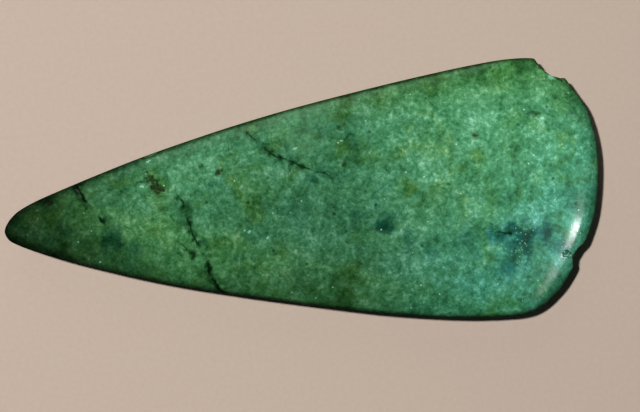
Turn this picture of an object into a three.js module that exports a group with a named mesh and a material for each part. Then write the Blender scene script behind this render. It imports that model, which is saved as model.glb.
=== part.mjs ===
// A polished jadeite axe head of the thin, triangular kind, lying on one face.
// It is a single stone, so it is one closed solid: millimetres, +Z up, +X from the butt to the
// cutting edge. The origin is the middle of the stone's box, on the surface that it lies on.
import * as THREE from "three";
import { mergeVertices } from "three/addons/utils/BufferGeometryUtils.js";

const { clamp, degToRad, lerp, smoothstep } = THREE.MathUtils;

// Driving sizes, in millimetres.
const LENGTH = 195; // butt tip to the front of the cutting edge
const WIDTH = 84; // across the shoulders, the widest place
const THICKNESS = 18; // rest flat to the crown of the upper face
const REST_CUT = 0.45; // depth of the flat that is ground into the crown of the under face
const SIDE_ROLL = 2.4; // how far in from the rim the rounded side reaches
const BLADE_ROLL = 6; // how far in from the rim the cutting bevel reaches
const BUTT_ROLL = 4; // how far in from the rim the rounding of the butt reaches

// The outline as shares of the length, and of the width above and below the axis.
const OUTLINE = [
  [0.006, 0.033, 0.033],
  [0.022, 0.07, 0.058],
  [0.05, 0.103, 0.088],
  [0.1, 0.144, 0.134],
  [0.25, 0.251, 0.247],
  [0.45, 0.362, 0.359],
  [0.65, 0.443, 0.453],
  [0.8, 0.491, 0.492],
  [0.87, 0.503, 0.482],
  [0.915, 0.492, 0.412],
  [0.945, 0.447, 0.32],
  [0.97, 0.358, 0.212],
  [0.988, 0.283, 0.108],
];
const FRONT_ABOVE_AXIS = 0.11; // share of the width: the cutting edge bulges above the axis

// The faces, as shares of the thickness.
const UPPER_SHARE = 0.52; // of it lies above the rim plane
const SIDE_SHARE = 0.175; // from the rim plane to the top of the ground side
const BLADE_SHARE = 0.13; // from the rim plane to the top of the cutting bevel
const BUTT_SHARE = 0.19; // from the rim plane to the shoulder of the butt
const SPINE_START_SHARE = 0.26; // from the rim plane to the spine's end behind the butt tip

// Places on the axis, as shares of the length from the butt tip.
const SPINE_START = 0.035; // the spine's end behind the butt tip
const CROWN = 0.6; // the thickest place, where the spine ends
const BUTT_END = 0.12; // the butt's form fades into the sides up to here
const BLADE_START = 0.86; // the sides fade into the cutting bevel from here
const BLADE_FULL = 0.94; // and are all cutting bevel from here

// Flakes broken off the cutting edge, each by an ellipsoid centred outside the rim. The centre is
// in shares of the length and of the width, the turn of its first radius is in degrees from the
// axis, and the radii, along that turn, across it and up, are shares of the length.
const FLAKES = [
  { along: 0.945, across: 0.497, turn: -42, radii: [0.04, 0.034, 0.06] },
  { along: 0.967, across: -0.301, turn: -90, radii: [0.0267, 0.0246, 0.04] },
];

// How finely the stone is divided.
const RIBS_PER_SPAN = 6; // ribs between two points of the outline
const RINGS = 13; // rings between the rim and the spine
const RING_CROWDING = 2.2; // above 1, rings crowd towards the rim, where the form turns fastest
const EVEN_SHARE = 0.15; // of the spine is dealt out evenly, so that its points keep apart
const MERGE_DISTANCE = 1e-4; // millimetres: points of the sheet closer than this become one

const upperRise = THICKNESS * UPPER_SHARE;
const underRise = THICKNESS - upperRise + REST_CUT;

// A point of the outline, in the rim plane, from its shares of the length and of the width.
function rimPoint(along, across) {
  return new THREE.Vector3(along * LENGTH, across * WIDTH, 0);
}

// The closed outline, from the butt tip over the upper side to the cutting edge and back below.
function outlineCurve() {
  const above = OUTLINE.map(([along, up]) => rimPoint(along, up));
  const below = OUTLINE.map(([along, , down]) => rimPoint(along, -down)).reverse();
  const points = [rimPoint(0, 0), ...above, rimPoint(1, FRONT_ABOVE_AXIS), ...below];
  return new THREE.CatmullRomCurve3(points, true, "centripetal");
}

// Mixes the butt's, the side's and the blade's value by how far along the length a point lies.
function alongStone(share, butt, side, blade) {
  const behind = lerp(butt, side, smoothstep(share, 0, BUTT_END));
  return lerp(behind, blade, smoothstep(share, BLADE_START, BLADE_FULL));
}

// Ribs run from the rim to the spine, which lies inside the stone from the butt to the crown.
// Two ribs that face each other across the axis end on the same point of the spine.
function makeRibs(outline) {
  const count = outline.points.length * RIBS_PER_SPAN;
  const rim = Array.from({ length: count }, (_, i) => outline.getPoint(i / count));
  const spineStart = rimPoint(SPINE_START, 0);
  const crown = rimPoint(CROWN, 0);
  return rim.map((foot, i) => {
    const facing = rim[(count - i) % count];
    const byPlace = clamp((foot.x + facing.x) / (2 * LENGTH), 0, 1);
    const byCount = (2 * Math.min(i, count - i)) / count;
    const share = lerp(byPlace, byCount, EVEN_SHARE);
    const onSide = foot.x / LENGTH;
    return {
      foot,
      head: spineStart.clone().lerp(crown, share),
      towardsCrown: share * (2 - share),
      shoulder: THICKNESS * alongStone(onSide, BUTT_SHARE, SIDE_SHARE, BLADE_SHARE),
      roll: alongStone(onSide, BUTT_ROLL, SIDE_ROLL, BLADE_ROLL),
    };
  });
}

// A point of a rib: ring 0 is the rim and the last ring is the spine. The face rises from the
// rim as a parabola, and within the roll it falls to the rim plane as a quarter of an ellipse.
function ribPoint(rib, ring, crownRise) {
  const share = (ring / RINGS) ** RING_CROWDING;
  const point = rib.foot.clone().lerp(rib.head, share);
  const inward = Math.min(1, point.distanceTo(rib.foot) / rib.roll);
  const headRise = lerp(THICKNESS * SPINE_START_SHARE, crownRise, rib.towardsCrown);
  const face = lerp(rib.shoulder, headRise, share * (2 - share));
  point.z = face * Math.sqrt(inward * (2 - inward));
  return point;
}

// Each flake's ellipsoid as the matrix that makes it from a unit ball, and the way back.
function makeStriker({ along, across, turn, radii }) {
  const size = new THREE.Vector3(...radii).multiplyScalar(LENGTH);
  const turned = new THREE.Matrix4().makeRotationZ(degToRad(turn));
  const toStone = turned.scale(size).setPosition(rimPoint(along, across));
  return { toStone, toUnit: toStone.clone().invert() };
}

// Moves a point that lies in a broken-off flake out to the surface that the break left.
function breakAway(point, strikers) {
  for (const { toStone, toUnit } of strikers) {
    const local = point.clone().applyMatrix4(toUnit);
    if (local.length() < 1) point.copy(local.normalize().applyMatrix4(toStone));
  }
}

// The stone's skin: a flat sheet of ribs and rings, wrapped over the under face, round the rim
// and over the upper face, then closed where its borders meet along the spine.
function makeStone() {
  const outline = outlineCurve();
  const ribs = makeRibs(outline);
  const strikers = FLAKES.map(makeStriker);
  const restLevel = REST_CUT - underRise;
  const sheet = new THREE.PlaneGeometry(1, 1, ribs.length, 2 * RINGS);
  const position = sheet.getAttribute("position");
  for (let row = 0; row <= 2 * RINGS; row++) {
    const ring = Math.abs(row - RINGS);
    const isUpper = row > RINGS;
    for (let i = 0; i <= ribs.length; i++) {
      const point = ribPoint(ribs[i % ribs.length], ring, isUpper ? upperRise : underRise);
      if (!isUpper) point.z *= -1;
      breakAway(point, strikers);
      point.z = Math.max(point.z, restLevel);
      position.setXYZ(row * (ribs.length + 1) + i, point.x, point.y, point.z);
    }
  }
  sheet.deleteAttribute("normal");
  sheet.deleteAttribute("uv");
  const stone = mergeVertices(sheet, MERGE_DISTANCE);
  stone.computeVertexNormals();
  return stone;
}

const jadeite = new THREE.MeshStandardMaterial({ color: 0x3f7d57, roughness: 0.3, metalness: 0 });
const stone = new THREE.Mesh(makeStone(), jadeite);
stone.name = "axe_head";
stone.geometry.computeBoundingBox();
const { min, max } = stone.geometry.boundingBox;
stone.position.set(-(min.x + max.x) / 2, -(min.y + max.y) / 2, -min.z);

const axe = new THREE.Group();
axe.add(stone);
export default axe;
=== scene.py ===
# %% [markdown]
# # A polished jadeite axe head
#
# The real object is one stone. Its maker flaked and pecked a block of jadeite to a thin triangle,
# ground it on wet sandstone and rubbed it until it shone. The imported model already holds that
# form at its true size, so nothing here changes its thickness, and only chips of a millimetre or
# two its outline. What is left to do is what the eye looks for in old polished stone: a skin that
# is smooth but never perfect, the places where flakes have broken off, pits and cracks, and the
# cloudy greens of the rock.

# %% The frame
import math

import bmesh
import bpy
from mathutils import Matrix, Vector, noise


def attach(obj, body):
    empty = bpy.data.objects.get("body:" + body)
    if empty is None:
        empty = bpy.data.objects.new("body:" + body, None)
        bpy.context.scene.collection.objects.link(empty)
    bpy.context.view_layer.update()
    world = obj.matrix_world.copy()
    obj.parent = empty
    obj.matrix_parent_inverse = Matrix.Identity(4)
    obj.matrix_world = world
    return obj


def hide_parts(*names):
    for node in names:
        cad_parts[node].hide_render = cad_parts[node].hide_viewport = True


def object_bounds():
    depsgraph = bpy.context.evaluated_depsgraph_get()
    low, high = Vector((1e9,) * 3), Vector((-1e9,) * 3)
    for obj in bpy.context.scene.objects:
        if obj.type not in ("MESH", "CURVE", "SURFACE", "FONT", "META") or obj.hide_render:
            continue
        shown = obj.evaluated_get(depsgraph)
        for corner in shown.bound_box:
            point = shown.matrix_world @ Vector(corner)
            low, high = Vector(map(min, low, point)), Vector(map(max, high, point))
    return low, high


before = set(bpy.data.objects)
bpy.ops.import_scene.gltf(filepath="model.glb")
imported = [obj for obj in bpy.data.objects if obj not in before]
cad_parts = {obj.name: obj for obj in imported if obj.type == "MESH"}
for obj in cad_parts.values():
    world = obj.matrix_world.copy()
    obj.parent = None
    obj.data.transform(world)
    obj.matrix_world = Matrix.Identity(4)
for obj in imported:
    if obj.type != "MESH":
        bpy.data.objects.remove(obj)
cad_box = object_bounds()
MM = 0.001
print("packed stone, mm:", [round(v / MM, 1) for v in cad_box[1] - cad_box[0]])

# %% [markdown]
# ## A smooth form to lay the skin on
#
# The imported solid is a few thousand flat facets. On matt clay they would pass, but a polished
# stone mirrors the lamps, and each facet would show as its own small mirror. One could bevel or
# shade it smooth, which hides the facets only from some angles. A subdivision surface is better:
# the loose triangles are welded, paired into the quads that they came from, and rounded by
# Catmull and Clark's rule, which keeps the form to within a few hundredths of a millimetre.

# %% Helpers that make objects and read them back
def new_object(name, bm):
    """Turns a bmesh into an object of the scene, shaded smooth, and frees the bmesh."""
    mesh = bpy.data.meshes.new(name)
    bm.to_mesh(mesh)
    bm.free()
    mesh.shade_smooth()
    obj = bpy.data.objects.new(name, mesh)
    bpy.context.scene.collection.objects.link(obj)
    return obj


def finished_bmesh(obj):
    """Reads what an object's modifiers make of it."""
    bm = bmesh.new()
    bm.from_object(obj, bpy.context.evaluated_depsgraph_get())
    return bm


def discard(obj):
    """Removes an object that was only a step on the way, with its mesh."""
    mesh = obj.data
    bpy.data.objects.remove(obj)
    bpy.data.meshes.remove(mesh)


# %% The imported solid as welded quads
WELD = 0.01 * MM
ROUNDING_LEVELS = 3


def welded_copy(node):
    """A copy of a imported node's mesh, its loose triangles welded and paired into quads."""
    bm = bmesh.new()
    bm.from_mesh(node.data)
    bmesh.ops.remove_doubles(bm, verts=bm.verts, dist=WELD)
    bmesh.ops.join_triangles(
        bm,
        faces=bm.faces,
        angle_face_threshold=math.radians(60),
        angle_shape_threshold=math.radians(150),
    )
    return bm


quads = welded_copy(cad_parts["axe_head"])
print("welded faces:", len(quads.faces))
print("of them triangles:", sum(len(face.verts) == 3 for face in quads.faces))
smooth_form = new_object("smooth_form", quads)
rounding = smooth_form.modifiers.new("rounding", "SUBSURF")
rounding.levels = ROUNDING_LEVELS
rounding.render_levels = ROUNDING_LEVELS

# %% [markdown]
# ## The marks on the stone
#
# The stone was struck and dropped more than once. Flakes came off its cutting edge, a few cracks
# run across it, and its skin has pits and white spots, partly bruises and partly painted glints.
# They could all be painted on, but a real hollow catches the light and shows in profile. So each
# mark is a row of a list here, and the skin is carved from these lists further down.
#
# All places are in millimetres in the stone's own frame: X from the butt to the cutting edge, Y
# across the face, and the face as "upper" or "under". Those on the upper face were read off the
# real stone, seen from above. The under face lies hidden, so the marks there are only likely ones.

# %% Flakes
# Each row is the ellipsoid that a flake left behind: its centre, its turn in degrees, its radii,
# and how uneven the scar is, as a share of the radii.
RIM_HEIGHT = 8.64
FLAKES = [
    {"centre": (86.8, 41.35, RIM_HEIGHT), "turn": -42, "radii": (7.9, 6.75, 12), "uneven": 0.04},
    {"centre": (86.0, 38.4, RIM_HEIGHT + 2), "turn": -20, "radii": (4.6, 2.6, 4), "uneven": 0.15},
    {"centre": (91.07, -25.68, RIM_HEIGHT), "turn": -90, "radii": (5.3, 4.9, 8), "uneven": 0.05},
    {"centre": (92.6, 31.4, RIM_HEIGHT), "turn": -55, "radii": (1.5, 1.5, 3), "uneven": 0.2},
    {"centre": (94.6, 27.7, RIM_HEIGHT), "turn": -60, "radii": (1.2, 1.15, 2.4), "uneven": 0.2},
    {"centre": (96.4, 22.6, RIM_HEIGHT - 1), "turn": -70, "radii": (1.4, 1.2, 2), "uneven": 0.2},
    {"centre": (87.9, -34.0, RIM_HEIGHT - 1.5), "turn": 50, "radii": (1.6, 1.3, 2.2), "uneven": 0.2},
    {"centre": (-48.4, 22.6, RIM_HEIGHT + 3.2), "turn": 14, "radii": (4.6, 3.0, 3.2), "uneven": 0.1},
]
print("largest flake spans, mm:", max(2 * max(flake["radii"][:2]) for flake in FLAKES))

# %% Cracks
# Each row is a crack's path, its width and depth, how far its dark stain spreads, and how dark the
# stain is.
CRACKS = [
    {"path": [(-17.5, 26.5), (-13.1, 21.9), (-7.6, 16.8), (-4.9, 15.4), (0.0, 13.0), (5.6, 10.3)],
     "width": 0.9, "depth": 0.1, "stain": 2.6, "dark": 0.85, "face": "upper"},
    {"path": [(0.0, 13.0), (5.6, 10.3), (8.2, 9.6), (12.5, 6.0)],
     "width": 0.5, "depth": 0.06, "stain": 1.4, "dark": 0.7, "face": "upper"},
    {"path": [(-3.9, 14.4), (-2.1, 9.6)],
     "width": 0.5, "depth": 0.05, "stain": 1.1, "dark": 0.5, "face": "upper"},
    {"path": [(-9.2, 22.6), (-5.4, 19.9)],
     "width": 0.5, "depth": 0.05, "stain": 1.0, "dark": 0.5, "face": "upper"},
    {"path": [(-40.1, 7.8), (-38.6, 4.5), (-37.3, 1.7), (-36.3, -5.0)],
     "width": 1.0, "depth": 0.08, "stain": 3.6, "dark": 0.8, "face": "upper"},
    {"path": [(-37.8, 3.2), (-36.3, -5.0), (-34.4, -9.7), (-32.2, -15.2)],
     "width": 0.9, "depth": 0.1, "stain": 2.5, "dark": 0.9, "face": "upper"},
    {"path": [(-33.4, -12.4), (-32.2, -15.2), (-31.4, -20.5), (-29.1, -24.6), (-27.0, -28.0)],
     "width": 1.9, "depth": 0.1, "stain": 3.9, "dark": 1.0, "face": "upper"},
    {"path": [(-42.0, -7.4), (-39.0, -10.0), (-37.1, -12.3), (-35.6, -14.6)],
     "width": 0.9, "depth": 0.04, "stain": 3.1, "dark": 0.7, "face": "upper"},
    {"path": [(-73.2, 14.6), (-72.6, 13.2), (-71.3, 10.5), (-70.2, 7.7), (-68.7, 6.0), (-67.8, 5.0)],
     "width": 1.7, "depth": 0.1, "stain": 3.9, "dark": 1.0, "face": "upper"},
    {"path": [(-66.8, 3.4), (-65.8, 1.8), (-63.8, -1.0), (-62.8, -2.0)],
     "width": 1.5, "depth": 0.08, "stain": 3.1, "dark": 0.9, "face": "upper"},
    {"path": [(-22.3, 24.3), (-22.0, 19.9), (-21.1, 16.4), (-19.2, 14.6)],
     "width": 0.5, "depth": 0.05, "stain": 2.0, "dark": 0.5, "face": "upper"},
    {"path": [(57.7, -13.3), (62.0, -14.0), (67.4, -15.0)],
     "width": 0.5, "depth": 0.06, "stain": 1.5, "dark": 0.9, "face": "upper"},
    {"path": [(76.9, -12.1), (80.4, -13.2), (84.7, -14.9)],
     "width": 0.4, "depth": 0.03, "stain": 2.1, "dark": 0.4, "face": "upper"},
    {"path": [(-48.0, -9.0), (-30.0, -2.0), (-8.0, 3.0), (15.0, 14.0)],
     "width": 0.7, "depth": 0.12, "stain": 2.0, "dark": 0.8, "face": "under"},
]
print("cracks, and the deepest, mm:", len(CRACKS), max(crack["depth"] for crack in CRACKS))

# %% Pits
# Each row is a pit's centre, its turn in degrees, half its length and half its width, its depth,
# and how dirty it is, which is 1 where the row doesn't say.
PITS = [
    {"centre": (-47.0, 10.6), "turn": -60, "half": (4.0, 1.6), "depth": 0.45, "face": "upper"},
    {"centre": (-45.6, 9.3), "turn": -20, "half": (2.2, 1.1), "depth": 0.3, "face": "upper"},
    {"centre": (-51.4, 12.0), "turn": 5, "half": (1.6, 0.6), "depth": 0.12, "stain": 0.8,
     "face": "upper"},
    {"centre": (-31.3, 15.4), "turn": 20, "half": (1.1, 0.7), "depth": 0.25, "stain": 0.7,
     "face": "upper"},
    {"centre": (-25.9, 12.9), "turn": 35, "half": (1.5, 0.7), "depth": 0.35, "face": "upper"},
    {"centre": (-81.3, 7.7), "turn": 10, "half": (1.3, 0.6), "depth": 0.3, "face": "upper"},
    {"centre": (14.6, 11.9), "turn": 80, "half": (1.3, 0.9), "depth": 0.12, "stain": 0.65,
     "face": "upper"},
    {"centre": (13.9, 24.1), "turn": 80, "half": (1.1, 0.8), "depth": 0.12, "stain": 0.65,
     "face": "upper"},
    {"centre": (57.3, 17.8), "turn": -40, "half": (1.8, 0.9), "depth": 0.15, "stain": 0.8,
     "face": "upper"},
    # The stain of this pit beside the notch is painted shade in its hollow.
    {"centre": (84.9, -23.4), "turn": -14, "half": (2.6, 1.3), "depth": 0.2, "stain": 0.45,
     "face": "upper"},
    {"centre": (77.5, 23.2), "turn": -4, "half": (3.4, 0.7), "depth": 0.05, "stain": 0.5,
     "face": "upper"},
    {"centre": (87.4, 33.4), "turn": -30, "half": (1.6, 0.6), "depth": 0.15, "face": "upper"},
    {"centre": (20.0, -12.0), "turn": 40, "half": (2.2, 1.0), "depth": 0.4, "face": "under"},
    {"centre": (-55.0, 4.0), "turn": -30, "half": (1.5, 0.8), "depth": 0.35, "face": "under"},
    {"centre": (62.0, 10.0), "turn": 70, "half": (1.2, 0.6), "depth": 0.25, "face": "under"},
]
print("pits, and the deepest, mm:", len(PITS), max(pit["depth"] for pit in PITS))

# %% Bruises and painted glints
# Each is a small white spot: partly where a blow crushed the grain, and partly a painted glint
# where the polish catches the light. A speckled one is a cluster of tiny spots. All of them are on
# the upper face.
BRUISES_AND_GLINTS = [
    {"centre": (-51.0, 10.4), "turn": 0, "half": (0.9, 0.45)},
    {"centre": (-0.4, 18.6), "turn": 20, "half": (1.5, 0.3)},
    {"centre": (-48.2, 18.6), "turn": 14, "half": (3.2, 0.22)},
    {"centre": (9.7, 18.2), "turn": 0, "half": (0.4, 0.3)},
    {"centre": (14.3, 19.6), "turn": 60, "half": (0.4, 0.3)},
    {"centre": (-17.6, -7.0), "turn": 10, "half": (0.5, 0.35)},
    {"centre": (-12.0, -9.6), "turn": 10, "half": (0.4, 0.4)},
    {"centre": (-73.0, -5.6), "turn": 40, "half": (0.5, 0.35)},
    {"centre": (-66.8, -12.8), "turn": 40, "half": (0.5, 0.35)},
    {"centre": (84.6, -20.4), "turn": -20, "half": (3.2, 1.3), "speckled": True},
    {"centre": (71.8, -14.0), "turn": 0, "half": (5.6, 2.4), "speckled": True},
    {"centre": (69.0, -21.8), "turn": 0, "half": (2.9, 6.0), "speckled": True},
    {"centre": (63.6, -20.0), "turn": 0, "half": (3.0, 2.4), "speckled": True},
    {"centre": (83.9, 34.5), "turn": -30, "half": (1.5, 0.8)},
]
print("bruises:", len(BRUISES_AND_GLINTS))

# %% Patches of other tints
# They lie in the upper face. Each has a centre, a radius and a strength.
PATCHES = {
    "teal": [
        ((26.3, -8.7), 6.0, 1.0), ((-61.9, -6.1), 6.0, 1.0), ((-56.0, -10.0), 5.0, 0.7),
        ((40.2, -18.1), 6.0, 0.6), ((34.0, -15.0), 6.0, 0.5), ((51.0, -14.0), 7.0, 0.5),
        ((62.0, -14.5), 6.0, 0.9), ((69.0, -17.0), 10.0, 1.0), ((76.0, -15.5), 8.0, 0.9),
        ((82.0, -20.5), 6.0, 0.7), ((66.0, -25.0), 9.0, 0.7), ((4.5, 8.0), 3.0, 0.8),
        ((17.0, -4.0), 5.0, 0.5), ((-78.0, -1.0), 5.0, 0.5), ((-33.0, -9.0), 3.0, 0.5),
    ],
    "olive": [
        ((34.5, 2.7), 5.0, 1.0), ((57.3, 9.9), 4.5, 0.9), ((14.6, 17.0), 6.0, 0.8),
        ((-22.0, -9.0), 8.0, 0.5), ((-8.0, -14.0), 8.0, 0.6), ((14.0, -24.0), 9.0, 0.6),
        ((-47.0, -3.0), 6.0, 0.5), ((-88.0, 4.0), 6.0, 0.7), ((52.0, -8.0), 5.0, 0.5),
        ((-42.5, 9.5), 2.5, 0.8), ((38.0, -28.0), 8.0, 0.4), ((15.3, 27.9), 6.0, 0.9),
        ((17.0, 34.0), 7.0, 0.7), ((28.0, 32.4), 7.0, 0.6), ((11.0, -31.0), 9.0, 0.6),
        ((-14.0, 27.0), 6.0, 0.6), ((36.0, 22.0), 5.0, 0.5), ((-62.0, 16.0), 6.0, 0.6),
    ],
    # The deep patches near the lower side are partly painted shade.
    "deep": [
        ((26.5, -8.5), 4.6, 0.75), ((39.5, 0.2), 2.0, 0.7), ((-61.0, -7.0), 4.8, 0.65),
        ((66.0, -13.5), 5.0, 0.7), ((72.0, -14.5), 6.0, 0.8), ((79.0, -15.5), 6.0, 0.7),
        ((69.0, -20.0), 8.0, 0.6), ((24.0, -20.0), 13.0, 0.3), ((10.0, -2.0), 6.0, 0.4),
        ((14.6, 11.9), 1.6, 0.8), ((13.9, 24.1), 1.8, 0.6), ((-38.5, -3.0), 3.0, 0.8),
        ((-33.0, -19.0), 4.0, 0.6), ((-52.0, -16.0), 5.0, 0.5), ((57.3, 18.2), 1.8, 0.8),
        ((0.0, 2.0), 7.0, 0.4), ((77.5, 23.0), 2.5, 0.5), ((29.0, -26.0), 6.0, 0.4),
        ((-3.0, -24.0), 8.0, 0.5), ((12.0, -27.0), 8.0, 0.6), ((-24.0, -24.0), 7.0, 0.4),
        ((-82.0, 8.5), 4.0, 0.8), ((-70.0, -9.0), 6.0, 0.5), ((60.0, 39.0), 8.0, 0.7),
        ((45.0, 36.0), 8.0, 0.5), ((76.0, 38.0), 8.0, 0.7),
        ((90.0, 22.0), 5.0, 0.5), ((-78.0, -8.0), 9.0, 0.6), ((-37.6, 1.5), 3.5, 1.0),
        ((-36.8, -12.0), 2.5, 0.8), ((-31.5, -19.5), 3.5, 0.8), ((-2.0, 14.0), 4.0, 0.5),
        ((11.0, -32.0), 9.0, 0.6),
    ],
    # Pale patches on the upper half are partly painted light; the one at (85.8, -12.8) is a painted
    # glow round the bevel's highlight.
    "pale": [
        ((82.5, -25.8), 4.0, 0.7), ((83.0, 12.0), 8.0, 0.5), ((70.0, 6.0), 8.0, 0.45),
        ((45.0, 14.0), 8.0, 0.35), ((60.0, 28.0), 8.0, 0.35), ((-33.0, 18.0), 7.0, 0.4),
        ((-24.0, 6.0), 6.0, 0.35), ((-60.0, 7.0), 5.0, 0.35), ((20.0, 24.0), 7.0, 0.35),
        ((34.5, 8.0), 5.0, 0.3), ((80.0, -30.0), 6.0, 0.4), ((60.0, -5.0), 7.0, 0.3),
        ((85.8, -12.8), 5.0, 0.7), ((3.0, 30.0), 15.0, 1.0), ((2.0, 21.0), 11.0, 0.9),
    ],
}
print("patches:", {kind: len(rows) for kind, rows in PATCHES.items()})

# %% [markdown]
# ## An even skin
#
# The quads of the smooth form are long in the middle of the stone and short at its rim, which is
# no good for carving: a pit needs as many points in the middle of a face as at the edge. A voxel
# remesh gives the same small square everywhere. Its points stray a little, so a shrinkwrap puts
# each one back on the smooth form. The squares are halved at the sides and the cutting edge, where
# the stone turns fast, and twice wherever something will be carved. Small squares all over would
# be simpler, but the mesh would be several times as heavy.

# %% How far a point is from each kind of mark
def clamped(value, lowest=0.0):
    """The value itself, but never under the lowest or over 1."""
    return min(1.0, max(lowest, value))


def striker(flake):
    """The way from the stone to a flake's unit ball, and back."""
    turn = Matrix.Rotation(math.radians(flake["turn"]), 4, "Z")
    to_stone = Matrix.Translation(flake["centre"]) @ turn @ Matrix.Diagonal((*flake["radii"], 1))
    return to_stone.inverted(), to_stone


def on_face(normal, face):
    """Whether a normal points out of that face."""
    return normal.z > 0 if face == "upper" else normal.z < 0


def distance_to_path(place, path):
    """How far a place is from a path, and how far along the path that is, from 0 to 1."""
    best = math.inf
    best_along = 0.0
    steps = len(path) - 1
    for i in range(steps):
        start = Vector(path[i])
        way = Vector(path[i + 1]) - start
        share = clamped((place - start).dot(way) / way.length_squared)
        gap = (place - start - way * share).length
        if gap < best:
            best = gap
            best_along = (i + share) / steps
    return best, best_along


def closeness_to_spot(place, spot):
    """1 at the middle of a pit or a white spot, 0 at its border, and less than 0 outside."""
    away = Matrix.Rotation(math.radians(-spot["turn"]), 2) @ (place - Vector(spot["centre"]))
    half_length, half_width = spot["half"]
    return 1 - math.hypot(away.x / half_length, away.y / half_width)


def in_box(place, box):
    """Whether a place lies in a box of left, right, bottom and top."""
    return box[0] < place.x < box[1] and box[2] < place.y < box[3]


STAIN_STRAY = 1.5  # millimetres that the ragged border of a stain may stray
for crack in CRACKS:
    xs, ys = zip(*crack["path"])
    reach = crack["stain"] + STAIN_STRAY
    crack["box"] = (min(xs) - reach, max(xs) + reach, min(ys) - reach, max(ys) + reach)
strikers = [striker(flake) for flake in FLAKES]
print("longest box of a crack, mm:", max(crack["box"][1] - crack["box"][0] for crack in CRACKS))

# %% The even skin, refined where it has to be
VOXEL = 0.82 * MM
NEARLY_LEVEL = 0.9  # the upright part of a normal on the broad faces
BEYOND_FLAKE = 1.15  # times its radii
BEYOND_CRACK = 0.5  # millimetres
BEYOND_PIT = -0.5  # closeness, which is half the pit's own size past its border
BEYOND_BRUISE_AND_GLINT = -0.4


def near_rim(vert):
    """At the sides and the cutting edge the skin leans."""
    return abs(vert.normal.z) < NEARLY_LEVEL


def near_mark(vert):
    """Whether a point lies where something will be carved or painted finely."""
    p = vert.co / MM
    place = p.xy
    if any((to_ball @ p).length < BEYOND_FLAKE for to_ball, _ in strikers):
        return True
    for crack in CRACKS:
        if on_face(vert.normal, crack["face"]) and in_box(place, crack["box"]):
            if distance_to_path(place, crack["path"])[0] < crack["width"] + BEYOND_CRACK:
                return True
    for pit in PITS:
        if on_face(vert.normal, pit["face"]) and closeness_to_spot(place, pit) > BEYOND_PIT:
            return True
    if not on_face(vert.normal, "upper"):
        return False
    return any(closeness_to_spot(place, bruise_and_glint) > BEYOND_BRUISE_AND_GLINT for bruise_and_glint in BRUISES_AND_GLINTS)


def near_rim_or_mark(vert):
    return near_rim(vert) or near_mark(vert)


def halve(bm, wanted):
    """Cuts every face whose corners are all wanted into four."""
    bm.normal_update()
    chosen = {vert for vert in bm.verts if wanted(vert)}
    edges = [edge for edge in bm.edges if chosen.issuperset(edge.verts)]
    bmesh.ops.subdivide_edges(bm, edges=edges, cuts=1, use_grid_fill=True)


remesh = smooth_form.modifiers.new("even squares", "REMESH")
remesh.mode = "VOXEL"
remesh.voxel_size = VOXEL
skin = finished_bmesh(smooth_form)
smooth_form.modifiers.remove(remesh)
print("even skin:", len(skin.faces), "faces")
halve(skin, near_rim_or_mark)
halve(skin, near_mark)
print("refined skin:", len(skin.faces), "faces")

# %% Each point back on the smooth form
stone = new_object("polished_axe_head", skin)
wrap = stone.modifiers.new("onto the smooth form", "SHRINKWRAP")
wrap.target = smooth_form
wrap.wrap_method = "NEAREST_SURFACEPOINT"
skin = finished_bmesh(stone)
discard(stone)
discard(smooth_form)
print("points on the smooth form:", len(skin.verts))

# %% [markdown]
# ## Carving
#
# Each point of the skin is moved by a few rules, in the order in which the stone met them. First
# comes the slight waviness that hand grinding leaves. Then pits and cracks sink into the face.
# Last, flakes come off the edge: a point inside a flake's ellipsoid is pushed out to its surface,
# which leaves the hollow, sharp-lipped scar of real conchoidal fracture. Cutting the marks out
# with other solids would do it too, but moving points keeps the skin closed and its squares even.
#
# Some values are kept at every point for the material to read: how freshly broken the skin is, how
# much dirt and painted shade and how much of a crack's stain lies in it, how white its bruises and
# painted glints make it, how steep it is, and how strongly each kind of patch tints it.

# %% Waves and swells
# A swell is a low rise that the grinding left, by centre, radius and height. This one stands on
# the cutting bevel and gathers the lamp's reflection to a short streak.
WAVE_LENGTH = 16  # millimetres between the waves that hand grinding leaves
WAVE_HEIGHT = 0.05
SWELLS = [{"centre": (88.3, -16.8), "radius": 7, "height": 0.17}]


def wander(p, spacing, height):
    """A smooth random height at a place, its bumps a spacing apart, the same in every run."""
    return noise.noise(p / spacing) * height


def swelling(place):
    """How far the swells rise at a place."""
    rise = 0.0
    for swell in SWELLS:
        away = (place - Vector(swell["centre"])).length / swell["radius"]
        rise += swell["height"] * math.exp(-away ** 2)
    return rise


print("height of the swell at its top, mm:", swelling(Vector(SWELLS[0]["centre"])))

# %% Sinking the pits
# A pit's border is made ragged by two random heights, and its floor falls away softly from there.
# Dirt fills it unevenly and spills a little over the border.
PIT_STRAY = -0.8  # the closeness where even the most ragged pit has ended
PIT_STEEPNESS = 1.3


def sink_pits(p, normal, place):
    """How deep the pits are at a place, and how much dirt and painted shade lies in them."""
    depth = 0.0
    dirt_and_shade = 0.0
    for pit in PITS:
        if not on_face(normal, pit["face"]):
            continue
        closeness = closeness_to_spot(place, pit)
        if closeness > PIT_STRAY:
            inside = closeness + wander(p, 1.4, 0.5) + wander(p, 0.5, 0.25)
            share = clamped(inside * PIT_STEEPNESS)
            depth = max(depth, pit["depth"] * share * share * (3 - 2 * share))
            filled = 0.3 + 0.8 * inside + wander(p, 0.9, 0.6)
            dirt_and_shade = max(dirt_and_shade, pit.get("stain", 1.0) * clamped(filled))
    return depth, dirt_and_shade


middle = Vector(PITS[0]["centre"])
in_first_pit = sink_pits(middle.to_3d(), Vector((0, 0, 1)), middle)
print("depth and dirt in the first pit:", [round(v, 2) for v in in_first_pit])

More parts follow.
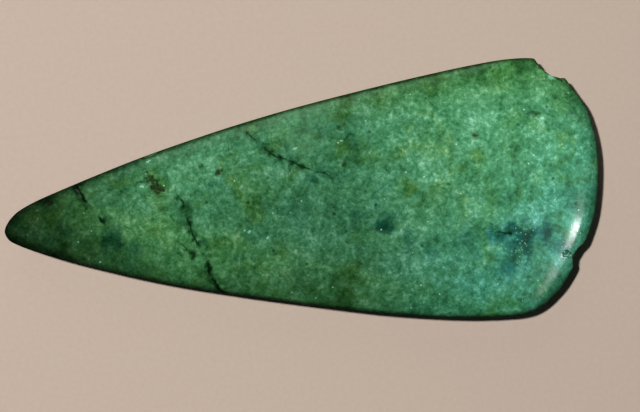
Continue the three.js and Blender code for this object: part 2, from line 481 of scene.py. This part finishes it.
# %% Sinking the cracks
# A real crack never runs straight, so its path is made to wander by a long and a short random
# height in X and in Y. The ones in Y are read at another level, where they differ from those in X.
# The core of a crack is cut, and its halo is only stained. Both fade and swell along the way.
LONG_LEVEL = Vector((0, 0, 40))
SHORT_LEVEL = Vector((0, 0, 60))
END_FADE = 8  # so that a crack fades in over an eighth of its path at each end


def sink_cracks(p, normal, place):
    """How deep the cracks are at a place, and how much they have stained the stone."""
    depth = 0.0
    seep = 0.0
    for crack in CRACKS:
        if not on_face(normal, crack["face"]) or not in_box(place, crack["box"]):
            continue
        ragged = Vector((wander(p, 2.6, 0.5), wander(p + LONG_LEVEL, 2.6, 0.5)))
        ragged += Vector((wander(p, 0.8, 0.25), wander(p + SHORT_LEVEL, 0.8, 0.25)))
        gap, along = distance_to_path(place + ragged, crack["path"])
        if gap > crack["stain"]:
            continue
        fade = min(1.0, END_FADE * along, END_FADE * (1 - along))
        fade *= clamped(0.9 + wander(p, 3.2, 1.3), lowest=0.2)
        core = max(0.0, 1 - gap / (crack["width"] / 2)) * fade
        halo = (1 - gap / crack["stain"]) ** 1.5 * max(0.0, 0.65 + wander(p, 1.6, 1.2)) * fade
        depth = max(depth, crack["depth"] * core)
        seep = max(seep, crack["dark"] * min(1.0, 1.3 * core), crack["dark"] * min(1.0, halo))
    return depth, seep


middle = Vector(CRACKS[0]["path"][2])
in_first_crack = sink_cracks(middle.to_3d(), Vector((0, 0, 1)), middle)
print("depth and stain in the first crack:", [round(v, 2) for v in in_first_crack])

# %% Whitening the bruises and glints and tinting the patches
# The tiny spots of a speckled cluster are the cells of a Voronoi pattern, white about their middles
# and fading out at the border of the cluster. They are partly crushed grains and partly painted
# glints, finer than the skin's squares, so they are drawn a millimetre apart.
BRUISE_AND_GLINT_STRAY = -0.6  # the closeness where even the most ragged bruise has ended
BRUISE_AND_GLINT_CONTRAST = 1.6
SPARKLE_SPACING = 1.0  # millimetres
SPARKLE_SIZE = 0.3  # of the spacing
SPARKLE_CONTRAST = 6
PATCH_STRAY = 1.6  # times its radius, where even the most ragged patch has ended


def bruising_and_glints(p, place):
    """How white a place is painted, for crushed grain and for painted glints. A speckled spot is many
    tiny ones.
    """
    whitest = 0.0
    for bruise_and_glint in BRUISES_AND_GLINTS:
        closeness = closeness_to_spot(place, bruise_and_glint)
        if closeness < BRUISE_AND_GLINT_STRAY:
            continue
        if bruise_and_glint.get("speckled"):
            nearest = noise.voronoi(p / SPARKLE_SPACING)[0][0]
            white = SPARKLE_CONTRAST * (SPARKLE_SIZE - nearest) * clamped(0.5 + 2 * closeness)
        else:
            white = BRUISE_AND_GLINT_CONTRAST * (closeness + wander(p, 0.6, 0.5))
        whitest = max(whitest, min(1.0, white))
    return whitest


def tinting(p, place, patches):
    """How strongly a kind of patch colours a place, with ragged borders."""
    strongest = 0.0
    for middle, radius, strength in patches:
        reach = math.hypot(place.x - middle[0], place.y - middle[1]) / radius
        if reach < PATCH_STRAY:
            inside = 1 - reach + wander(p, 3.5, 0.5) + wander(p, 1.2, 0.2)
            strongest = max(strongest, strength * clamped(inside))
    return strongest


middle = Vector(BRUISES_AND_GLINTS[0]["centre"])
print("whiteness of the first bruise:", round(bruising_and_glints(middle.to_3d(), middle), 2))

# %% Breaking off the flakes
LIP_SHARE = 0.12  # of a flake's radii: how far the dirt on the lip of its scar reaches


def break_flakes(p):
    """Where a place ends up once the flakes are off, how broken it is and how near a lip."""
    broken = 0.0
    lip = 0.0
    for (to_ball, to_stone), flake in zip(strikers, FLAKES):
        local = to_ball @ p
        reach = 1 + wander(p, 2.2, flake["uneven"])
        if local.length < reach:
            p = to_stone @ (local.normalized() * reach)
            broken = 1.0
        else:
            lip = max(lip, 1 - (local.length - reach) / LIP_SHARE)
    return p, broken, lip


struck, _, _ = break_flakes(Vector(FLAKES[2]["centre"]) - Vector((1, 0, 0)))
print("a point inside the lower flake ends up at, mm:", [round(v, 2) for v in struck])

# %% Carving the skin
# The flat that the stone rests on stays as it is.
REST_MARGIN = 0.02  # millimetres: every point lower than this belongs to that flat
SCAR_GRAIN = 0.9  # millimetres between the steps of a broken face
SCAR_HEIGHT = 0.14
LIP_DIRT = 0.6
KEPT_VALUES = ["broken", "dirt_and_shade", "seep", "bruise_and_glint", "slope", *PATCHES]
bmesh.ops.triangulate(skin, faces=[face for face in skin.faces if len(face.verts) > 4])
skin.normal_update()
layers = {name: skin.verts.layers.float.new(name) for name in KEPT_VALUES}
carved = []
for vert in skin.verts:
    p = vert.co / MM
    normal = vert.normal.copy()
    place = p.xy
    marks = {}
    if p.z > REST_MARGIN:
        pit_depth, marks["dirt_and_shade"] = sink_pits(p, normal, place)
        crack_depth, marks["seep"] = sink_cracks(p, normal, place)
        lift = wander(p, WAVE_LENGTH, WAVE_HEIGHT) + (swelling(place) if normal.z > 0 else 0)
        moved = p + normal * (lift - max(pit_depth, crack_depth))
        moved, marks["broken"], lip = break_flakes(moved)
        marks["dirt_and_shade"] = max(marks["dirt_and_shade"], LIP_DIRT * lip)
        if marks["broken"]:
            moved -= normal * abs(wander(p, SCAR_GRAIN, SCAR_HEIGHT))
        if normal.z > 0:
            marks["bruise_and_glint"] = bruising_and_glints(p, place)
            for kind, patches in PATCHES.items():
                marks[kind] = tinting(p, place, patches)
        p = moved
    carved.append((p, marks))
for vert, (p, marks) in zip(skin.verts, carved):
    vert.co = p * MM
    for name, value in marks.items():
        vert[layers[name]] = value
skin.normal_update()
for vert in skin.verts:
    vert[layers["slope"]] = 1 - abs(vert.normal.z)
print("points in scars:", sum(marks.get("broken", 0) > 0 for _, marks in carved))

# %% The finished stone
stone = new_object("polished_axe_head", skin)
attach(stone, "root")
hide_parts("axe_head")
triangles = sum(len(face.vertices) - 2 for face in stone.data.polygons)
print("stone:", len(stone.data.vertices), "points,", triangles, "triangles")

# %% [markdown]
# ## Jadeite, ground and polished
#
# Jadeite rock is a felt of pyroxene grains a millimetre or so across. Light goes a little way in
# and comes back cloudy, so the colour is a mosaic of mint and bottle green with darker seams
# between the grains, stained olive and blue-green in broad patches. Polish gives it the soft
# gloss of a dense stone: an index of refraction of 1.66 and a roughness of about a fifth.
#
# A photograph could be wrapped round it, but noise in three dimensions suits rock better, because
# the pattern then runs through the stone and meets itself at every edge. Each noise is scaled by
# the real size of what it stands for.

# %% Helpers for nodes and colours
def linear(hex_colour):
    """An sRGB hex colour as the linear colour that Blender reckons in."""
    channels = [int(hex_colour[i:i + 2], 16) / 255 for i in (1, 3, 5)]
    return [c / 12.92 if c <= 0.04045 else ((c + 0.055) / 1.055) ** 2.4 for c in channels] + [1]


def per_metre(size_mm):
    """The scale that makes a pattern repeat about every size_mm."""
    return 1 / (size_mm * MM)


def add_node(tree, kind, settings=(), inputs=()):
    """Adds a node, sets its settings, and gives each input a value or a link."""
    node = tree.nodes.new(kind)
    for name, value in dict(settings).items():
        setattr(node, name, value)
    for name, value in dict(inputs).items():
        if isinstance(value, bpy.types.NodeSocket):
            tree.links.new(value, node.inputs[name])
        else:
            node.inputs[name].default_value = value
    return node


def new_material(name):
    """An empty material, its node tree and its output node."""
    material = bpy.data.materials.new(name)
    material.use_nodes = True
    material.node_tree.nodes.clear()
    return material, material.node_tree, material.node_tree.nodes.new("ShaderNodeOutputMaterial")


# The block was pecked round, ground on wet sandstone and rubbed until it shone.
jadeite, tree, output = new_material("ground and polished jadeite")
coords = add_node(tree, "ShaderNodeTexCoord").outputs["Object"]
kept = {}
for name in KEPT_VALUES:
    kept[name] = add_node(tree, "ShaderNodeAttribute", {"attribute_name": name}).outputs["Fac"]
print("values that the jadeite reads:", len(kept))

# %% Cloudy grain
# Four sizes of structure are added up to a tone: broad veils, clumps of grains, single grains, and
# the pale fibres that jadeite's needles show in polish. Real needles are finer than a pixel, so
# they are drawn about two millimetres apart. Three more noises spread the tints. Each has the
# millimetres between its largest swells, its detail, roughness, distortion and kind.
NOISES = {
    "veils": (13, 4, 0.6, 0.4, "FBM"),
    "clumps": (3.6, 5, 0.72, 0.5, "FBM"),
    "grains": (1.3, 3, 0.7, 0.4, "FBM"),
    "fibres": (2.2, 3, 0.6, 1.2, "RIDGED_MULTIFRACTAL"),
    "olive": (16, 5, 0.66, 0.8, "FBM"),
    "teal": (14, 5, 0.66, 0.8, "FBM"),
    "deep": (9, 5, 0.66, 0.9, "FBM"),
}
noises = {}
FIRST_DEPTH = 3.0  # each noise is cut at a fourth coordinate of its own, so that no two agree
for name, (size_mm, detail, rough, distortion, kind) in NOISES.items():
    in_four_dimensions = {"noise_dimensions": "4D", "noise_type": kind}
    noises[name] = add_node(tree, "ShaderNodeTexNoise", in_four_dimensions, {
        "Vector": coords, "W": FIRST_DEPTH + len(noises), "Scale": per_metre(size_mm),
        "Detail": detail, "Roughness": rough, "Distortion": distortion}).outputs["Fac"]
TONE_SHARES = {"veils": 0.3, "clumps": 0.48, "grains": 0.43, "fibres": 0.05}
tone = 0.0
for name, share in TONE_SHARES.items():
    tone = add_node(tree, "ShaderNodeMath", {"operation": "MULTIPLY_ADD"}, {
        0: noises[name], 1: share, 2: tone}).outputs[0]
print("noises:", len(noises))

# %% Greens of the tone
# Each has the tone at which it is pure, from the dark seams to the pale grains.
GREENS = [
    (0.42, "#143d21"),
    (0.50, "#285b39"),
    (0.57, "#38744c"),
    (0.64, "#4a8961"),
    (0.71, "#69a681"),
    (0.80, "#a0c8b0"),
]
tones = add_node(tree, "ShaderNodeValToRGB", {}, {0: tone})
for position, _ in GREENS[1:-1]:
    tones.color_ramp.elements.new(position)
for element, (position, hex_colour) in zip(tones.color_ramp.elements, GREENS):
    element.position = position
    element.color = linear(hex_colour)
for tone_value, hex_green in (GREENS[0], GREENS[-1]):
    print("green at tone", tone_value, "is", [round(c, 3) for c in linear(hex_green)[:3]])

# %% Tints in broad patches
# Iron stains the stone olive and traces of chrome and titanium turn it blue-green. Some patches
# have their places on the upper face; the rest come from noise and go right round the stone. Each
# tint has the noise values between which it sets in, how strong it gets there and in the placed
# patches, how it is blended, and its colour. Pale patches are only the placed ones.
TINTS = {
    "olive": (0.46, 0.70, 0.85, 0.85, "MULTIPLY", "#f0dc96"),
    "teal": (0.50, 0.72, 0.5, 1.0, "MULTIPLY", "#7db2c9"),
    "deep": (0.55, 0.75, 0.4, 0.9, "MULTIPLY", "#86a08e"),
    "pale": (2.0, 3.0, 0.0, 0.8, "ADD", "#3a5a48"),
}
SOFT_STEP = {"interpolation_type": "SMOOTHSTEP"}
PATCH_FULL = 0.9  # a patch is at its strongest from here
colour = tones.outputs["Color"]
for name, (low, high, spread_most, placed_most, blend, hex_tint) in TINTS.items():
    spread = add_node(tree, "ShaderNodeMapRange", SOFT_STEP, {
        "Value": noises.get(name, 0.0), "From Min": low, "From Max": high, "To Max": spread_most})
    placed = add_node(tree, "ShaderNodeMapRange", SOFT_STEP, {
        "Value": kept[name], "From Max": PATCH_FULL, "To Max": placed_most})
    strongest = add_node(tree, "ShaderNodeMath", {"operation": "MAXIMUM"}, {
        0: spread.outputs[0], 1: placed.outputs[0]})
    colour = add_node(tree, "ShaderNodeMix", {"data_type": "RGBA", "blend_type": blend}, {
        0: strongest.outputs[0], 6: colour, 7: linear(hex_tint)}).outputs[2]
print("tints:", len(TINTS))

# %% Specks
# A pale speck is a grain whose cleavage lies flat in the polish, partly pale in itself and partly
# a painted glint. A dark one is an iron mineral.
# Each kind has the millimetres between its cells, its radius and rarity as shares of 1, how it is
# blended, and its colour.
SPECKS = [
    (1.9, 0.17, 0.91, "MIX", "#9ccfb2"),
    (3.4, 0.22, 0.94, "MULTIPLY", "#94a68e"),
]
for size_mm, radius, rarity, blend, hex_speck in SPECKS:
    dots = add_node(tree, "ShaderNodeTexVoronoi", {}, {"Vector": coords, "Scale": per_metre(size_mm)})
    core = add_node(tree, "ShaderNodeMapRange", {}, {
        "Value": dots.outputs["Distance"], "From Min": radius, "From Max": radius / 2})
    chance = add_node(tree, "ShaderNodeSeparateColor", {}, {0: dots.outputs["Color"]})
    chosen = add_node(tree, "ShaderNodeMath", {"operation": "GREATER_THAN"}, {
        0: chance.outputs[0], 1: rarity})
    share = add_node(tree, "ShaderNodeMath", {"operation": "MULTIPLY"}, {
        0: core.outputs[0], 1: chosen.outputs[0]})
    colour = add_node(tree, "ShaderNodeMix", {"data_type": "RGBA", "blend_type": blend}, {
        0: share.outputs[0], 6: colour, 7: linear(hex_speck)}).outputs[2]
print("kinds of speck:", len(SPECKS))

# %% Tone, and painted light and shade, across the stone
# The stone is made darkest at its butt and along its lower side, and palest near the cutting edge.
# This is partly the rock's own tone and partly painted shade and painted light, as if the lamps lit
# the cutting edge and the upper side more than the butt and the lower side. A slanted direction is
# X with a share of Y added. Each shade has its direction, the metres between which it changes, and
# the brightness at both.
axes = add_node(tree, "ShaderNodeSeparateXYZ", {}, {0: coords})
directions = {"along": axes.outputs["X"], "across": axes.outputs["Y"]}
SLANTS = {"to the pale corner": 1.4, "from the yellow side": 2.9, "to the blue side": -1.5}
for name, share_of_y in SLANTS.items():
    directions[name] = add_node(tree, "ShaderNodeMath", {"operation": "MULTIPLY_ADD"}, {
        0: axes.outputs["Y"], 1: share_of_y, 2: axes.outputs["X"]}).outputs[0]
SHADES = [
    ("to the pale corner", -0.08, 0.1, 0.74, 1.22),
    ("to the pale corner", -0.105, -0.05, 0.6, 1.0),
    ("along", -0.105, -0.04, 0.3, 1.5),
    ("along", -0.05, 0.01, 1.0, 0.72),
    ("along", 0.0, 0.08, 1.0, 1.5),
    ("across", -0.042, -0.012, 0.88, 1.0),
    ("across", 0.016, 0.042, 1.0, 0.85),
]
for direction, start, end, at_start, at_end in SHADES:
    shade = add_node(tree, "ShaderNodeMapRange", SOFT_STEP, {
        "Value": directions[direction], "From Min": start,
        "From Max": end, "To Min": at_start, "To Max": at_end})
    colour = add_node(tree, "ShaderNodeVectorMath", {"operation": "SCALE"}, {
        0: colour, "Scale": shade.outputs[0]}).outputs[0]
print("shades:", len(SHADES))

# %% Yellow and blue across the stone
# The rock also turns from a yellow green at the butt to a blue green below the cutting edge. The
# blue green is also brightened: partly paler rock and partly a painted pale sheen on the polish.
# Each hue has its direction, the metres between which it comes up, its strength, its colour, and
# how far it is brightened again.
HUES = [
    ("along", 0.0, -0.07, 0.4, "#fff4d8", 1.0),
    ("from the yellow side", -0.038, -0.056, 0.8, "#fffcdc", 1.0),
    ("across", 0.022, 0.038, 0.9, "#fff8d0", 1.0),
    ("to the blue side", 0.045, 0.105, 1.0, "#cce2ff", 1.45),
]
for direction, start, end, most, hex_hue, brighten in HUES:
    share = add_node(tree, "ShaderNodeMapRange", SOFT_STEP, {
        "Value": directions[direction], "From Min": start, "From Max": end, "To Max": most})
    tinted = add_node(tree, "ShaderNodeMix", {"data_type": "RGBA", "blend_type": "MULTIPLY"}, {
        0: 1.0, 6: colour, 7: linear(hex_hue)})
    brightened = add_node(tree, "ShaderNodeVectorMath", {"operation": "SCALE"}, {
        0: tinted.outputs[2], "Scale": brighten})
    colour = add_node(tree, "ShaderNodeMix", {"data_type": "RGBA"}, {
        0: share.outputs[0], 6: colour, 7: brightened.outputs[0]}).outputs[2]
print("hues:", len(HUES))

# %% Painted rim shade, dirt, breaks and white spots
# The stone gets darker and browner the more steeply it leans: partly a brown skin that the polishing
# missed, and partly painted shade where the rim turns away from the lamps. Cracks are stained dark
# green, darkest at their core. Dirt turns hollows brown, and beside the notch it is painted shade. A
# break is paler than the old polish, and the bruises and painted glints are nearly white. Each skin
# has the kept value that it follows, between which values it sets in, its strength, how it is
# blended, its colour, and whether it is as dull as broken stone.
SKINS = [
    ("slope", 0.01, 0.12, 0.38, "MULTIPLY", "#6f8f66", False),
    ("slope", 0.06, 0.35, 0.5, "MULTIPLY", "#7a8a50", False),
    ("slope", 0.35, 0.85, 0.6, "MULTIPLY", "#8a6238", False),
    ("broken", 0.0, 1.0, 0.1, "MIX", "#8fbf9c", True),
    ("seep", 0.0, 0.6, 0.85, "MULTIPLY", "#5d8a66", False),
    ("seep", 0.35, 1.0, 0.9, "MULTIPLY", "#355f40", False),
    ("dirt_and_shade", 0.0, 0.7, 0.85, "MULTIPLY", "#8a8a5c", False),
    ("dirt_and_shade", 0.3, 1.2, 0.8, "MIX", "#1e2211", True),
    ("bruise_and_glint", 0.1, 0.9, 0.8, "MIX", "#98e0c0", False),
]
dull = 0.0
for name, low, high, most, blend, hex_skin, is_dull in SKINS:
    share = add_node(tree, "ShaderNodeMapRange", SOFT_STEP, {
        "Value": kept[name], "From Min": low, "From Max": high, "To Max": most})
    colour = add_node(tree, "ShaderNodeMix", {"data_type": "RGBA", "blend_type": blend}, {
        0: share.outputs[0], 6: colour, 7: linear(hex_skin)}).outputs[2]
    if is_dull:
        dull = add_node(tree, "ShaderNodeMath", {"operation": "MAXIMUM"}, {
            0: dull, 1: share.outputs[0]}).outputs[0]
print("skins:", len(SKINS))

# %% Gloss
# The polish is slightly uneven: the soft veins between grains stay a little duller, and hard
# grains stand a few hundredths of a millimetre proud of them. The noise of the clumps tells them
# apart: veins lie at its low values and grains at its high ones.
VEIN_ROUGHNESS = 0.22
GRAIN_ROUGHNESS = 0.14
BROKEN_ROUGHNESS = 0.9
GRAIN_HEIGHT = 0.03 * MM
JADEITE_IOR = 1.66
gloss = add_node(tree, "ShaderNodeMapRange", {}, {
    "Value": noises["clumps"], "From Min": 0.35, "From Max": 0.65,
    "To Min": VEIN_ROUGHNESS, "To Max": GRAIN_ROUGHNESS})
roughness = add_node(tree, "ShaderNodeMapRange", {}, {
    "Value": dull, "To Min": gloss.outputs[0], "To Max": BROKEN_ROUGHNESS})
relief = add_node(tree, "ShaderNodeMath", {"operation": "MULTIPLY_ADD"}, {
    0: noises["grains"], 1: 0.4, 2: noises["clumps"]})
bump = add_node(tree, "ShaderNodeBump", {}, {
    "Strength": 0.4, "Distance": GRAIN_HEIGHT, "Height": relief.outputs[0]})
shader = add_node(tree, "ShaderNodeBsdfPrincipled", {}, {
    "Base Color": colour, "Roughness": roughness.outputs[0], "IOR": JADEITE_IOR,
    "Normal": bump.outputs["Normal"]})
tree.links.new(shader.outputs["BSDF"], output.inputs["Surface"])
stone.data.materials.append(jadeite)
print("nodes in the jadeite:", len(tree.nodes))

# %% [markdown]
# ## The studio
#
# A museum lays such a stone flat and looks straight down at it. The floor is plain and pale. The
# main lamp is a small softbox high on the left, which throws the narrow shadow along the cutting
# edge and the lower side. It is seen only in the matt colour, like a lamp behind crossed
# polarisers, so that no glare hides the greens. A second one, low on the right, is seen only in
# the gloss, where it runs a highlight down the cutting bevel. A wide dim one fills the dark side.
# One big softbox would be simpler, but it lays a grey veil over the whole face.

# %% Floor
FLOOR_HALF = 1.5
PULP_SIZE = 1.5  # millimetres: the fibres are finer, but those wouldn't show
bm = bmesh.new()
bmesh.ops.create_grid(bm, x_segments=1, y_segments=1, size=FLOOR_HALF)
floor = new_object("floor", bm)
# The paper was rolled without a coating, so it stays matt.
paper, paper_tree, paper_output = new_material("pale matt paper")
paper_coords = add_node(paper_tree, "ShaderNodeTexCoord").outputs["Object"]
pulp = add_node(paper_tree, "ShaderNodeTexNoise", {}, {
    "Vector": paper_coords, "Scale": per_metre(PULP_SIZE), "Detail": 3})
tint = add_node(paper_tree, "ShaderNodeMix", {"data_type": "RGBA"}, {
    0: pulp.outputs["Fac"], 6: linear("#cdb8a7"), 7: linear("#d6c3b4")})
matt = add_node(paper_tree, "ShaderNodeBsdfPrincipled", {}, {
    "Base Color": tint.outputs[2], "Roughness": 0.9})
paper_tree.links.new(matt.outputs["BSDF"], paper_output.inputs["Surface"])
floor.data.materials.append(paper)
# In the stone's gloss the pale paper would draw a grey line round the dark rim.
floor.visible_glossy = False
print("floor, m:", 2 * FLOOR_HALF)

# %% Lamps
# Each lamp stands round the stone by its azimuth, counted from +X towards +Y, and its tilt from
# straight overhead, both in degrees, and faces the middle of the stone. Its distance and its size
# are in metres.
LAMPS = [
    {"name": "key", "azimuth": 147, "tilt": 19, "distance": 1.4, "size": (0.08, 0.08),
     "watts": 17.0, "seen_in": "diffuse"},
    {"name": "strip", "azimuth": -20, "tilt": 42, "distance": 0.9, "size": (0.07, 0.2),
     "watts": 1.1, "seen_in": "glossy"},
    {"name": "fill", "azimuth": 95, "tilt": 58, "distance": 1.2, "size": (0.7, 0.7),
     "watts": 0.8, "seen_in": "both"},
]
centre = (cad_box[0] + cad_box[1]) / 2
for lamp in LAMPS:
    azimuth = math.radians(lamp["azimuth"])
    tilt = math.radians(lamp["tilt"])
    level = math.sin(tilt)
    away = Vector((math.cos(azimuth) * level, math.sin(azimuth) * level, math.cos(tilt)))
    softbox = bpy.data.lights.new(lamp["name"], "AREA")
    softbox.shape = "RECTANGLE"
    softbox.size, softbox.size_y = lamp["size"]
    softbox.energy = lamp["watts"]
    light = bpy.data.objects.new(lamp["name"], softbox)
    light.location = centre + away * lamp["distance"]
    light.rotation_euler = away.to_track_quat("Z", "Y").to_euler()
    light.visible_glossy = lamp["seen_in"] != "diffuse"
    light.visible_diffuse = lamp["seen_in"] != "glossy"
    bpy.context.scene.collection.objects.link(light)
    print(lamp["name"], "stands at, m:", [round(v, 2) for v in light.location])

# %% The dim room
# The Standard view shows each colour as it was chosen.
ROOM_STRENGTH = 0.014
world = bpy.data.worlds.new("dim room")
world.use_nodes = True
room_light = world.node_tree.nodes["Background"]
room_light.inputs["Color"].default_value = linear("#d5dbe2")
room_light.inputs["Strength"].default_value = ROOM_STRENGTH
bpy.context.scene.world = world
bpy.context.scene.view_settings.view_transform = "Standard"
print("room light:", ROOM_STRENGTH)

# %% Camera
# It looks straight down. The stone's axis rises by 4.9 degrees to the right in the picture, and
# the picture is 208.8 mm wide where the stone's rim is.
CAMERA_DISTANCE = 0.55
PICTURE_WIDTH = 208.8 * MM
TURN = math.radians(-4.9)
PICTURE_CENTRE = Vector((5.7, -0.7, RIM_HEIGHT)) * MM
camera_data = bpy.data.cameras.new("camera")
camera_data.lens = camera_data.sensor_width * CAMERA_DISTANCE / PICTURE_WIDTH
camera = bpy.data.objects.new("camera", camera_data)
camera.location = PICTURE_CENTRE + Vector((0, 0, CAMERA_DISTANCE))
camera.rotation_euler = (0, 0, TURN)
bpy.context.scene.collection.objects.link(camera)
bpy.context.scene.camera = camera
print("lens, mm:", round(camera_data.lens, 1))
